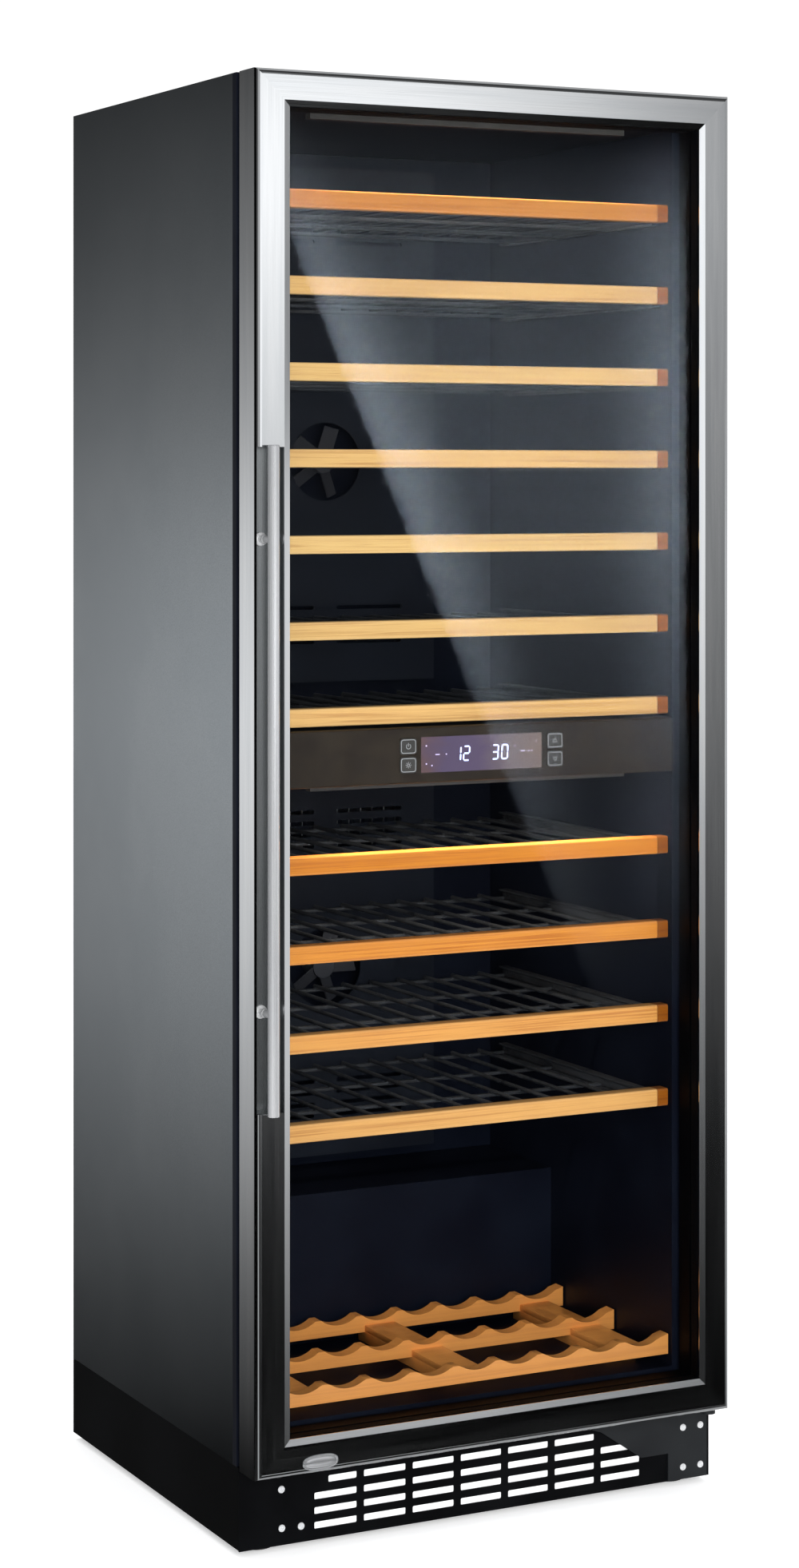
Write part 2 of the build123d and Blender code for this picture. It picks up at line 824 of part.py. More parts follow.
coil_rows = 9
coil_pitch = 26.0
coil_start = door_front + 95.0
coil_points = []
for k in range(coil_rows):
    ends = (-200, 200) if k % 2 == 0 else (200, -200)
    coil_points += [(x, coil_start + k * coil_pitch) for x in ends]
with BuildPart() as condenser_coil:
    with BuildLine(Plane.XY.offset(52)) as coil_path:
        FilletPolyline(*coil_points, radius=coil_pitch / 2 - 0.5)
    with BuildSketch(Plane(origin=coil_path.line @ 0, z_dir=coil_path.line % 0)):
        Circle(4)
    sweep()
    # two plates carry the tube
    for x in (-150, 150):
        slab(
            (x - 1, x + 1),
            (coil_start - 10, coil_start + (coil_rows - 1) * coil_pitch + 10),
            (8 + sheet, 70),
        )
save(condenser_coil.part, "condenser_coil")

with BuildPart() as drain_pan:
    pan_y = (door_front + 450, door_front + 520)
    slab((-180, -50), pan_y, (8 + sheet, 30))
    slab((-177, -53), (pan_y[0] + 3, pan_y[1] - 3), (12.5, 30), Mode.SUBTRACT)
save(drain_pan.part, "drain_pan")

with BuildPart() as power_inlet:
    with BuildSketch(front_view(rear)):
        with Locations((inlet_x, inlet_z)):
            Rectangle(*inlet_size)
    extrude(amount=22)
    with BuildSketch(front_view(rear)):
        with Locations((inlet_x, inlet_z)):
            Rectangle(27, 20)
    extrude(amount=18, mode=Mode.SUBTRACT)
    for x, z in ((-7, -2), (0, 3), (7, -2)):
        slab(
            (inlet_x + x - 1, inlet_x + x + 1),
            (rear - 18, rear - 9),
            (inlet_z + z - 2, inlet_z + z + 2),
        )
save(power_inlet.part, "power_inlet")
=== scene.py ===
import json
import math

import bmesh
import bpy
from mathutils import Matrix, Vector


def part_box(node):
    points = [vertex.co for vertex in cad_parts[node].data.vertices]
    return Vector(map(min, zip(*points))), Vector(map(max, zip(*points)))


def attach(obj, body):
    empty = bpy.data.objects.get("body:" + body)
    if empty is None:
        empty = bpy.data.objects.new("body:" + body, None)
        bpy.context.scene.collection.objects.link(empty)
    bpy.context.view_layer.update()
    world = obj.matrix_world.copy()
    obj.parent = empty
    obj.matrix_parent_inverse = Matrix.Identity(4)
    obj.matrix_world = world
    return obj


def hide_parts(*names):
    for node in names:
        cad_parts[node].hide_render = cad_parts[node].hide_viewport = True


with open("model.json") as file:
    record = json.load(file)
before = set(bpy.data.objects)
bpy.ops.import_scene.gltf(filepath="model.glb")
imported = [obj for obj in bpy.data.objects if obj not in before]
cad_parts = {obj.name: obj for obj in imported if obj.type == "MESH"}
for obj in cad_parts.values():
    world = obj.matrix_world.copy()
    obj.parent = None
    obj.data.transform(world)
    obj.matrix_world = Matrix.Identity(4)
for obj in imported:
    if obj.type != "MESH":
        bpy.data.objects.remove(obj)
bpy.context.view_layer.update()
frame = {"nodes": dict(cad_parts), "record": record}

# Looks for the wine cooler, in metres: +Z up, door facing -Y, floor at Z 0.
scene = bpy.context.scene
scene.view_settings.view_transform = "Standard"
MM = 0.001


# ------------------------------------------------------------ shader helpers
def add(tree, kind, settings=None, **inputs):
    """New shader node. Inputs are plain values or sockets to link."""
    node = tree.nodes.new("ShaderNode" + kind)
    for key, value in (settings or {}).items():
        setattr(node, key, value)
    for key, value in inputs.items():
        put(tree, node.inputs[key.replace("_", " ")], value)
    return node


def put(tree, socket, value):
    """Sets a socket to a plain value, or links another socket to it."""
    if isinstance(value, bpy.types.NodeSocket):
        tree.links.new(value, socket)
    else:
        socket.default_value = value


def start(name):
    """Empty node material: (material, tree, output node, object coordinates)."""
    mat = bpy.data.materials.new(name)
    mat.use_nodes = True
    mat.node_tree.nodes.clear()
    tree = mat.node_tree
    out = add(tree, "OutputMaterial")
    return mat, tree, out, add(tree, "TexCoord").outputs["Object"]


def noise(tree, where, stretch, detail=3.0, rough=0.55, distortion=0.0):
    """Noise with its own number of cycles per metre along each axis."""
    if not isinstance(stretch, tuple):
        stretch = (stretch,) * 3
    placed = add(tree, "Mapping", Vector=where, Scale=stretch)
    return add(
        tree,
        "TexNoise",
        Vector=placed.outputs[0],
        Scale=1.0,
        Detail=detail,
        Roughness=rough,
        Distortion=distortion,
    ).outputs["Fac"]


def ramp(tree, fac, *stops, mode="LINEAR"):
    """Colour ramp from (position, colour or grey) stops."""
    node = add(tree, "ValToRGB", Fac=fac)
    node.color_ramp.interpolation = mode
    elements = node.color_ramp.elements
    elements[0].position = stops[0][0]
    elements[1].position = stops[-1][0]
    for place, _ in stops[1:-1]:
        elements.new(place)
    for element, (_, colour) in zip(elements, stops):
        if not isinstance(colour, tuple):
            colour = (colour,) * 3
        element.color = (*colour, 1.0)
    return node.outputs["Color"]


def span(tree, value, low, high, to_low, to_high, smooth=False):
    """Value mapped from one range to another, clamped."""
    kind = "SMOOTHSTEP" if smooth else "LINEAR"
    return add(
        tree,
        "MapRange",
        {"interpolation_type": kind},
        Value=value,
        From_Min=low,
        From_Max=high,
        To_Min=to_low,
        To_Max=to_high,
    ).outputs[0]


def calc(tree, operation, *values):
    """Result of a Math node."""
    node = add(tree, "Math", {"operation": operation})
    for socket, value in zip(node.inputs, values):
        put(tree, socket, value)
    return node.outputs[0]


def blend_colours(tree, fac, a, b, mode="MIX"):
    """Colour result of a Mix node. Its sockets 0, 6 and 7 are factor, A and B."""
    node = add(tree, "Mix", {"data_type": "RGBA", "blend_type": mode})
    for place, value in zip((0, 6, 7), (fac, a, b)):
        if isinstance(value, tuple):
            value = (*value, 1.0)
        put(tree, node.inputs[place], value)
    return node.outputs[2]


def bump(tree, height, strength, distance):
    """Normal bent by a height, which spans `distance` metres."""
    node = add(tree, "Bump", Height=height, Strength=strength, Distance=distance)
    return node.outputs[0]


def finish_with(tree, shader, out):
    """Links a shader node to the material's output."""
    tree.links.new(shader.outputs[0], out.inputs[0])


# ----------------------------------------------------------------- materials
def surface(
    name,
    tone_a,
    tone_b,
    rough,
    metallic=0.0,
    drift=9.0,
    grain=900.0,
    relief=0.15,
    depth=0.00012,
    **fixed,
):
    """Surface whose tone drifts between two colours. Fine grain varies its
    roughness between two limits and raises a slight relief. drift and grain are
    cycles per metre, depth is in metres."""
    mat, tree, out, where = start(name)
    slow = noise(tree, where, drift, 4.0)
    fine = noise(tree, where, grain)
    tone = blend_colours(
        tree, span(tree, slow, 0.32, 0.68, 0.0, 1.0, True), tone_a, tone_b
    )
    both = calc(tree, "MULTIPLY_ADD", slow, 0.5, fine)
    body = add(
        tree,
        "BsdfPrincipled",
        Base_Color=tone,
        Metallic=metallic,
        Roughness=span(tree, both, 0.5, 1.0, *rough),
        Normal=bump(tree, fine, relief, depth),
        **fixed,
    )
    finish_with(tree, body, out)
    return mat


def brushed(name, along, tone_a, tone_b, rough, relief):
    """Steel brushed along one axis: streaks are long that way and fine across."""

    def cycles(lengthways, across):
        return tuple(lengthways if axis == along else across for axis in range(3))

    return surface(
        name,
        tone_a,
        tone_b,
        rough,
        metallic=1.0,
        drift=cycles(3.0, 60.0),
        grain=cycles(6.0, 1400.0),
        relief=relief,
        depth=0.00004,
    )


GOLD = ((0.55, 0.28, 0.085), (0.80, 0.49, 0.17))  # dark and light bands
ORANGE = ((0.52, 0.128, 0.007), (0.78, 0.255, 0.018))
# band in which the wood turns paler towards a front's long edges
PALE_EDGE_FROM, PALE_EDGE_TO = 6.8 * MM, 9.5 * MM  # height above a front's middle


def wood(name, seed, warm, dim=1.0):
    """Lacquered hardwood with its grain along X. warm 0 is golden, 1 is orange, and dim
    scales both. The tone is paler towards the long edges."""
    mat, tree, out, where = start(name)
    shifted = add(tree, "Mapping", Vector=where, Location=(seed * 3.1, seed, 0)).outputs[0]
    bands = noise(tree, shifted, (2.2, 60.0, 210.0), 4.0, 0.6, 0.7)
    pores = noise(tree, shifted, (24.0, 700.0, 1100.0), 3.0)
    patch = noise(tree, shifted, (7.0, 20.0, 30.0), 2.0)
    dark, light = (
        tuple(dim * max(0.01, g + (o - g) * warm) for g, o in zip(a, b))
        for a, b in zip(GOLD, ORANGE)
    )
    tone = ramp(tree, bands, (0.30, dark), (0.52, light), (0.60, dark), (0.74, light))
    tone = blend_colours(tree, span(tree, patch, 0.35, 0.7, 0.0, 0.45), tone, light)
    tone = blend_colours(tree, span(tree, pores, 0.60, 0.72, 0.0, 0.5), tone, dark)
    height = add(tree, "SeparateXYZ", Vector=where).outputs[2]
    off_middle = calc(tree, "ABSOLUTE", height)
    edge = span(tree, off_middle, PALE_EDGE_FROM, PALE_EDGE_TO, 0.0, 0.5, True)
    pale = tuple(min(1.0, c * 1.12 + 0.07 * dim) for c in light)
    tone = blend_colours(tree, edge, tone, pale)
    body = add(
        tree,
        "BsdfPrincipled",
        Base_Color=tone,
        Roughness=span(tree, pores, 0.3, 0.7, 0.28, 0.46),
        Normal=bump(tree, pores, 0.25, 0.00015),
        Coat_Weight=0.25,
        Coat_Roughness=0.12,
    )
    finish_with(tree, body, out)
    return mat


def glass(name, tint, mirror_ior):
    """Tinted pane that lets light straight through and mirrors by Fresnel on the
    face that the light meets first. Faint smears vary the tint."""
    mat, tree, out, where = start(name)
    smear = noise(tree, where, (5.0, 5.0, 14.0), 5.0)
    smeared = tuple(c * 0.985 for c in tint)
    through = add(
        tree,
        "BsdfTransparent",
        Color=blend_colours(tree, span(tree, smear, 0.4, 0.7, 0, 1), tint, smeared),
    )
    shine = add(
        tree,
        "BsdfGlossy",
        Color=(0.95, 0.97, 1.0, 1.0),
        Roughness=span(tree, smear, 0.3, 0.7, 0.012, 0.03),
    )
    behind = add(tree, "NewGeometry").outputs["Backfacing"]
    facing = calc(tree, "SUBTRACT", 1.0, behind)
    share = calc(tree, "MULTIPLY", add(tree, "Fresnel", IOR=mirror_ior).outputs[0], facing)
    mix = add(tree, "MixShader", Fac=share)
    tree.links.new(through.outputs[0], mix.inputs[1])
    tree.links.new(shine.outputs[0], mix.inputs[2])
    finish_with(tree, mix, out)
    return mat


def glowing(name, tone_a, tone_b, strength):
    """Milky diffuser or lit segment: emission over a soft plastic."""
    mat, tree, out, where = start(name)
    cloud = noise(tree, where, 40.0)
    tone = blend_colours(tree, span(tree, cloud, 0.3, 0.7, 0, 1), tone_a, tone_b)
    body = add(
        tree,
        "BsdfPrincipled",
        Base_Color=tone,
        Roughness=0.5,
        Emission_Color=tone,
        Emission_Strength=strength,
    )
    finish_with(tree, body, out)
    return mat


def smoked(name):
    """Backlit display window behind a smoked cover: violet towards the left,
    brown towards the right, slightly clouded."""
    mat, tree, out, where = start(name)
    low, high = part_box("display_window")
    x = add(tree, "SeparateXYZ", Vector=where).outputs[0]
    side = span(tree, x, low.x, high.x, 0.0, 1.0)
    cloud = noise(tree, where, (30.0, 30.0, 60.0), 3.0)
    place = calc(tree, "MULTIPLY_ADD", cloud, 0.3, calc(tree, "SUBTRACT", side, 0.15))
    tone = ramp(
        tree,
        place,
        (0.0, (0.095, 0.055, 0.055)),
        (0.18, (0.078, 0.055, 0.092)),
        (0.45, (0.085, 0.060, 0.098)),
        (0.7, (0.125, 0.095, 0.097)),
        (1.0, (0.15, 0.105, 0.085)),
    )
    body = add(
        tree,
        "BsdfPrincipled",
        Base_Color=tone,
        Roughness=span(tree, cloud, 0.3, 0.7, 0.12, 0.2),
        Emission_Color=tone,
        Emission_Strength=0.35,
    )
    finish_with(tree, body, out)
    return mat


# door frame, brushed along X on the rails and along Z on the stiles
STEEL = ((0.58, 0.60, 0.62), (0.66, 0.675, 0.69), (0.08, 0.15), 0.08)
rail_steel = brushed("rail_steel", 0, *STEEL)
stile_steel = brushed("stile_steel", 2, *STEEL)
# darker, redder copy of the shelf wood for the fronts' end blocks: painted shade on the
# fronts' ends
shaded_end_wood = wood("shaded_end_wood", 7.3, 1.15, 0.46)
rim_paint = surface("rim_paint", (0.32, 0.31, 0.30), (0.42, 0.41, 0.39), (0.4, 0.55))
digit_light = glowing("digit_light", (0.55, 0.62, 1.0), (0.74, 0.78, 1.0), 1.3)
icon_light = glowing("icon_light", (0.45, 0.36, 0.55), (0.60, 0.50, 0.62), 0.9)

slot_materials = {
    "door_steel": stile_steel,
    "handle_steel": surface(
        "handle_steel",
        (0.56, 0.57, 0.59),
        (0.64, 0.65, 0.66),
        (0.22, 0.32),
        metallic=0.66,
        drift=(60.0, 60.0, 3.0),
        grain=(1400.0, 1400.0, 6.0),
        relief=0.05,
        depth=0.00004,
    ),
    "badge_metal": surface(
        "badge_metal",
        (0.52, 0.53, 0.55),
        (0.64, 0.65, 0.67),
        (0.14, 0.24),
        metallic=0.82,
        grain=1500.0,
        relief=0.08,
    ),
    "door_trim": surface(
        "door_trim",
        (0.0012, 0.0012, 0.0016),
        (0.0024, 0.0024, 0.0030),
        (0.42, 0.58),
        Specular_IOR_Level=0.1,
    ),
    "door_glass": glass("door_glass", (0.945, 0.955, 0.965), 1.08),
    "spacer_black": surface(
        "spacer_black",
        (0.0012, 0.0012, 0.0016),
        (0.0024, 0.0024, 0.0030),
        (0.5, 0.7),
        Specular_IOR_Level=0.1,
    ),
    "seal": surface(
        "seal",
        (0.0015, 0.0015, 0.002),
        (0.003, 0.003, 0.0036),
        (0.6, 0.8),
        Specular_IOR_Level=0.1,
    ),
    "hinge_steel": surface(
        "hinge_steel",
        (0.009, 0.010, 0.012),
        (0.014, 0.016, 0.018),
        (0.36, 0.48),
        metallic=0.2,
        grain=2200.0,
        relief=0.2,
    ),
    "bush_plastic": surface(
        "bush_plastic", (0.70, 0.69, 0.64), (0.78, 0.77, 0.73), (0.35, 0.5)
    ),
    "cabinet_metal": surface(
        "cabinet_metal",
        (0.205, 0.230, 0.250),
        (0.240, 0.265, 0.285),
        (0.10, 0.18),
        metallic=1.0,
        drift=5.0,
        grain=700.0,
        relief=0.06,
        depth=0.00006,
    ),
    "rear_zinc": surface(
        "rear_zinc",
        (0.088, 0.093, 0.098),
        (0.104, 0.109, 0.114),
        (0.36, 0.50),
        metallic=0.6,
        drift=6.0,
    ),
    "foot_rubber": surface(
        "foot_rubber", (0.018, 0.018, 0.018), (0.032, 0.032, 0.032), (0.6, 0.8)
    ),
    "plinth_black": surface(
        "plinth_black",
        (0.0015, 0.0016, 0.002),
        (0.003, 0.0033, 0.004),
        (0.5, 0.62),
        grain=1800.0,
        relief=0.25,
        Specular_IOR_Level=0.06,
    ),
    # white pad behind the kick grille's slots: painted light, its white stands in for the
    # bright light seen through them
    "filter_pad": surface(
        "filter_pad",
        (0.86, 0.87, 0.88),
        (0.95, 0.95, 0.95),
        (0.8, 0.95),
        drift=120.0,
        relief=0.6,
        depth=0.0006,
    ),
    "screw_metal": surface(
        "screw_metal",
        (0.78, 0.79, 0.81),
        (0.88, 0.89, 0.90),
        (0.18, 0.30),
        metallic=0.45,
        grain=2500.0,
        relief=0.1,
    ),
    "foam": surface("foam", (0.80, 0.72, 0.52), (0.88, 0.82, 0.65), (0.8, 0.95)),
    "liner_plastic": surface(
        "liner_plastic",
        (0.004, 0.005, 0.010),
        (0.007, 0.009, 0.016),
        (0.42, 0.56),
        grain=1300.0,
        relief=0.25,
        Specular_IOR_Level=0.2,
    ),
    "panel_plastic": surface(
        "panel_plastic",
        (0.022, 0.014, 0.008),
        (0.034, 0.023, 0.013),
        (0.4, 0.55),
        drift=45.0,
        grain=1600.0,
        relief=0.3,
    ),
    "display": smoked("display"),
    "circuit": surface(
        "circuit", (0.02, 0.11, 0.055), (0.035, 0.17, 0.085), (0.35, 0.5), drift=150.0
    ),
    "lamp": glowing("lamp", (0.050, 0.046, 0.040), (0.068, 0.062, 0.054), 0.05),
    "duct_plastic": surface(
        "duct_plastic", (0.006, 0.0075, 0.012), (0.010, 0.0125, 0.019), (0.45, 0.6)
    ),
    "evaporator_aluminium": surface(
        "evaporator_aluminium",
        (0.68, 0.69, 0.70),
        (0.80, 0.81, 0.82),
        (0.25, 0.4),
        metallic=1.0,
    ),
    "motor_metal": surface(
        "motor_metal", (0.45, 0.46, 0.47), (0.58, 0.59, 0.60), (0.35, 0.5), metallic=0.9
    ),
    "fan_plastic": surface(
        "fan_plastic", (0.030, 0.030, 0.034), (0.045, 0.045, 0.050), (0.3, 0.42)
    ),
    "runner_metal": surface(
        "runner_metal",
        (0.030, 0.031, 0.034),
        (0.048, 0.050, 0.054),
        (0.22, 0.36),
        grain=1500.0,
    ),
    "wood": wood("wood", 0.0, 0.2),
    "compressor_black": surface(
        "compressor_black",
        (0.014, 0.014, 0.016),
        (0.024, 0.024, 0.026),
        (0.16, 0.3),
        drift=14.0,
        Coat_Weight=0.4,
    ),
    "coil_black": surface(
        "coil_black", (0.030, 0.028, 0.026), (0.055, 0.050, 0.044), (0.35, 0.5)
    ),
    "shroud_plastic": surface(
        "shroud_plastic", (0.040, 0.040, 0.044), (0.058, 0.058, 0.062), (0.45, 0.6)
    ),
    "pan_plastic": surface(
        "pan_plastic", (0.085, 0.085, 0.092), (0.115, 0.115, 0.122), (0.4, 0.55)
    ),
    "inlet_plastic": surface(
        "inlet_plastic", (0.022, 0.022, 0.022), (0.036, 0.036, 0.036), (0.3, 0.45)
    ),
    "key_plastic": surface(
        "key_plastic", (0.045, 0.040, 0.034), (0.062, 0.056, 0.048), (0.28, 0.4)
    ),
}

# CAD nodes take their slot's material, apart from three
node_slots = {s["node"]: s["material_slot"] for s in frame["record"]["subparts"]}
# darker copy of the door's brushed steel for the handle pocket: painted shade in the recess
# behind the bar
shaded_pocket_steel = brushed(
    "shaded_pocket_steel", 2, (0.30, 0.32, 0.33), (0.37, 0.39, 0.40), (0.22, 0.32), 0.1
)
special = {
    "door_rail_top": rail_steel,
    "door_rail_bottom": rail_steel,
    "handle_pocket": shaded_pocket_steel,
}
for node, obj in frame["nodes"].items():
    finish = special.get(node, slot_materials[node_slots[node]])
    if not obj.material_slots:
        obj.data.materials.append(finish)
    for material_slot in obj.material_slots:
        material_slot.material = finish


# --------------------------------------------------------------- mesh helpers
def add_box(bm, low, high, bevel=0.0, segments=2):
    """Box between two corners, with all its edges rounded."""
    size = Vector(high) - Vector(low)
    middle = (Vector(high) + Vector(low)) / 2
    matrix = Matrix.Translation(middle) @ Matrix.Diagonal((*size, 1.0))
    made = bmesh.ops.create_cube(bm, size=1.0, matrix=matrix)
    if bevel:
        edges = list({e for v in made["verts"] for e in v.link_edges})
        bmesh.ops.bevel(
            bm, geom=edges, offset=bevel, segments=segments, profile=0.5, affect="EDGES"
        )


def add_rings(bm, rings, cap_start=True, cap_end=True):
    """Skin over rings of equal point counts, in order."""
    loops = [[bm.verts.new(p) for p in ring] for ring in rings]
    count = len(loops[0])
    for low, high in zip(loops, loops[1:]):
        for k in range(count):
            n = (k + 1) % count
            bm.faces.new((low[k], low[n], high[n], high[k]))
    if cap_start:
        bm.faces.new(loops[0])
    if cap_end:
        bm.faces.new(loops[-1])


def turned(origin, axis, profile, segments=32):
    """Rings of a turned shape: profile is (radius, distance along the axis)."""
    axis = Vector(axis).normalized()
    side = axis.orthogonal().normalized()
    other = axis.cross(side)
    rings = []
    for radius, along in profile:
        ring = []
        for k in range(segments):
            turn = 2 * math.pi * k / segments
            reach = radius(turn) if callable(radius) else radius
            spoke = side * math.cos(turn) + other * math.sin(turn)
            ring.append(Vector(origin) + axis * along + spoke * reach)
        rings.append(ring)
    return rings


def add_tube(bm, points, radius, segments=10):
    """Round bar through points, its rings square to the path."""
    points = [Vector(p) for p in points]
    rings = []
    side = None
    for k, point in enumerate(points):
        ahead = (points[min(k + 1, len(points) - 1)] - point).normalized()
        behind = (point - points[max(k - 1, 0)]).normalized()
        along = (ahead + behind).normalized()
        if side is None:
            side = along.orthogonal().normalized()
        side = (side - along * side.dot(along)).normalized()
        other = along.cross(side)
        widen = 1.0
        if ahead.length and behind.length:
            widen = 1.0 / max(0.5, along.dot(ahead))
        rings.append(
            [
                point
                + (side * math.cos(t) + other * math.sin(t)) * radius * widen
                for t in (2 * math.pi * j / segments for j in range(segments))
            ]
        )
    add_rings(bm, rings)


SHARP = math.radians(32)  # edges over this angle stay crisp


def make(name, bm, finish, body, replaces=(), at=(0, 0, 0)):
    """Turns a bmesh into a piece on a CAD body, with one finish or several.
    `at` is the piece's origin, which its mesh is drawn round."""
    bmesh.ops.recalc_face_normals(bm, faces=bm.faces)
    for face in bm.faces:
        face.smooth = True
    for edge in bm.edges:
        if len(edge.link_faces) == 2:
            edge.smooth = edge.calc_face_angle(0.0) < SHARP
    mesh = bpy.data.meshes.new(name)
    bm.to_mesh(mesh)
    bm.free()
    obj = bpy.data.objects.new(name, mesh)
    for each in finish if isinstance(finish, tuple) else (finish,):
        mesh.materials.append(each)
    scene.collection.objects.link(obj)
    obj.location = at
    bpy.context.view_layer.update()
    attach(obj, body)
    if replaces:
        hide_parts(*replaces)
    return obj


# -------------------------------------------------------------------- shelves
BOARD = 18 * MM
END_BLOCK = 14 * MM
JOINT = 0.25 * MM  # half the gap between a board and its end block


NOSE = 2.4 * MM  # rounding of a board's front edges
BACK_EASE = 0.8 * MM  # and of its back edges
END_EASE = 0.3 * MM


def board_rings(x0, x1, depth, height):
    """Rings of a board along X with a rounded front. Its ends are eased."""
    outline = []
    for y, z, radius, first in (
        (0.0, -height / 2, NOSE, 180),
        (depth, -height / 2, BACK_EASE, 270),
        (depth, height / 2, BACK_EASE, 0),
        (0.0, height / 2, NOSE, 90),
    ):
        cy = y + radius if y == 0.0 else y - radius
        cz = z + radius if z < 0 else z - radius
        for k in range(6):  # a quarter turn in five steps
            turn = math.radians(first + 18 * k)
            outline.append((cy + radius * math.cos(turn), cz + radius * math.sin(turn)))
    centre = (depth / 2, 0.0)

    def ring(x, shrink=0.0):
        return [
            (
                x,
                y + (centre[0] - y) * shrink / (depth / 2),
                z + (centre[1] - z) * shrink / (height / 2),
            )
            for y, z in outline
        ]

    return [ring(x0, END_EASE), ring(x0 + END_EASE), ring(x1 - END_EASE), ring(x1, END_EASE)]


# each front's warmth and its paleness
FRONTS = (
    (0.85, 0.84), (0.15, 0.98), (0.05, 1.0), (0.12, 0.98), (0.0, 1.03), (0.08, 1.0),
    (0.18, 1.07), (1.0, 1.0), (0.9, 1.07), (0.62, 1.12), (0.42, 1.07),
)
# rack behind each front: side rails, cross bars and wires that run front to back
WIRES, WIRE_PITCH, WIRE = 12, 38 * MM, 5 * MM
RAIL_OUTER, RAIL_WIDE, RAIL_HIGH = 248.5 * MM, 6 * MM, 10 * MM
BARS, BAR_HIGH = 4, 4 * MM
BEAD = ((0.5, 2.6), (2.4, 2.1), (3.0, 0.0))  # radius and reach in millimetres

rack_mesh = bmesh.new()
rack_low, rack_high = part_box("shelf_01")
drop = -(rack_high.z - rack_low.z) / 2  # underside of the board, from its middle
front = BOARD + 0.3 * MM  # just behind the board
back = rack_high.y - rack_low.y
inner = RAIL_OUTER - RAIL_WIDE
bars_y = [front + (back - RAIL_WIDE - front) / (BARS - 1) * k for k in range(BARS)]
bead = [(r * MM, -t * MM) for r, t in BEAD] + [(r * MM, t * MM) for r, t in BEAD[1::-1]]
for side in (-1, 1):
    near, far = sorted((side * RAIL_OUTER, side * inner))
    add_box(
        rack_mesh, (near, front, drop), (far, back, drop + RAIL_HIGH), 1.6 * MM, 3
    )
for y in bars_y:
    add_box(
        rack_mesh,
        (-inner - 0.5 * MM, y, drop),
        (inner + 0.5 * MM, y + RAIL_WIDE, drop + BAR_HIGH),
        1.2 * MM,
    )
for k in range(WIRES):
    x = WIRE_PITCH * (k - (WIRES - 1) / 2)
    z = drop + BAR_HIGH + WIRE / 2
    add_tube(rack_mesh, [(x, front, z), (x, back - 0.2 * MM, z)], WIRE / 2, 12)
    # weld bead where the wire meets each cross bar
    for y in bars_y:
        weld = (x, y + RAIL_WIDE / 2, drop + 3.6 * MM)
        add_rings(rack_mesh, turned(weld, (0, 1, 0), bead, 10))

for index, (warm, dim) in enumerate(FRONTS):
    name = f"shelf_{index + 1:02d}"
    low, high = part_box(name)
    centre = (0.0, low.y, (low.z + high.z) / 2)
    half = (high.x - low.x) / 2
    height = high.z - low.z
    tall = bmesh.new()
    # the two end blocks (index 1) take the darker end wood, which paints shade on each
    # front's ends
    for x0, x1, block in (
        (-half, -half + END_BLOCK - JOINT, 1),
        (-half + END_BLOCK + JOINT, half - END_BLOCK - JOINT, 0),
        (half - END_BLOCK + JOINT, half, 1),
    ):
        before = len(tall.faces)
        add_rings(tall, board_rings(x0, x1, BOARD, height))
        tall.faces.ensure_lookup_table()
        for face in tall.faces[before:]:
            face.material_index = block
    grain = wood(f"{name}_wood", 1.7 * index, warm, dim)
    make(f"{name}_front", tall, (grain, shaded_end_wood), name, (name,), centre)
    make(
        f"{name}_rack",
        rack_mesh.copy(),
        slot_materials["runner_metal"],
        name,
        (name,),
        centre,
    )
rack_mesh.free()

# fixed cradle: scalloped boards that hold the lowest row, on battens with feet
PITCH, SCOOP, SCOOP_LOW = 54 * MM, 38 * MM, 162 * MM  # scallop pitch, radius, lowest point
CRADLE_LOW = 150 * MM
LAND = 2.2 * MM  # half the flat between two scallops
LAND_HIGH = 3 * MM  # rise from the last scallop to a board's end
STEPS = 10
BATTENS, BATTEN_HALF, BATTEN_HIGH = (-210 * MM, 0.0, 210 * MM), 20 * MM, 8 * MM
FOOT_BACK = 40 * MM  # set back of the feet from the front board

low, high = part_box("bottom_rack")
cradle = bmesh.new()
sweep = math.acos((SCOOP_LOW + SCOOP - high.z) / SCOOP)
scallops = []
for k in range(-4, 5):
    for j in range(STEPS + 1):
        turn = -sweep + 2 * sweep * j / STEPS
        x = k * PITCH + SCOOP * math.sin(turn)
        z = SCOOP_LOW + SCOOP - SCOOP * math.cos(turn)
        if abs(x - k * PITCH) <= PITCH / 2 - LAND:
            scallops.append((x, z))
profile = [
    (low.x, CRADLE_LOW),
    (low.x, scallops[0][1] + LAND_HIGH),
    *scallops,
    (high.x, scallops[-1][1] + LAND_HIGH),
    (high.x, CRADLE_LOW),
]
for y in (low.y, (low.y + high.y - BOARD) / 2, high.y - BOARD):
    before = len(cradle.faces)
    add_rings(cradle, [[(x, y + dy, z) for x, z in profile] for dy in (0.0, BOARD)])
    cradle.faces.ensure_lookup_table()
    sides = [f for f in cradle.faces[before:] if len(f.verts) > 4]
    rim = {e for f in sides for e in f.edges}
    bmesh.ops.bevel(
        cradle, geom=list(rim), offset=0.9 * MM, segments=2, profile=0.5, affect="EDGES"
    )
for x in BATTENS:
    add_box(
        cradle,
        (x - BATTEN_HALF, low.y + 4 * MM, CRADLE_LOW + 0.2 * MM),
        (x + BATTEN_HALF, high.y - 0.5 * MM, CRADLE_LOW + BATTEN_HIGH),
        1.0 * MM,
    )
    add_box(
        cradle,
        (x - BATTEN_HALF, low.y + FOOT_BACK, low.z),
        (x + BATTEN_HALF, high.y, CRADLE_LOW + 1.5 * MM),
        1.0 * MM,
    )
cradle_wood = wood("cradle_wood", 21.0, 0.85)
make("bottom_rack_boards", cradle, cradle_wood, "cabinet", ("bottom_rack",))

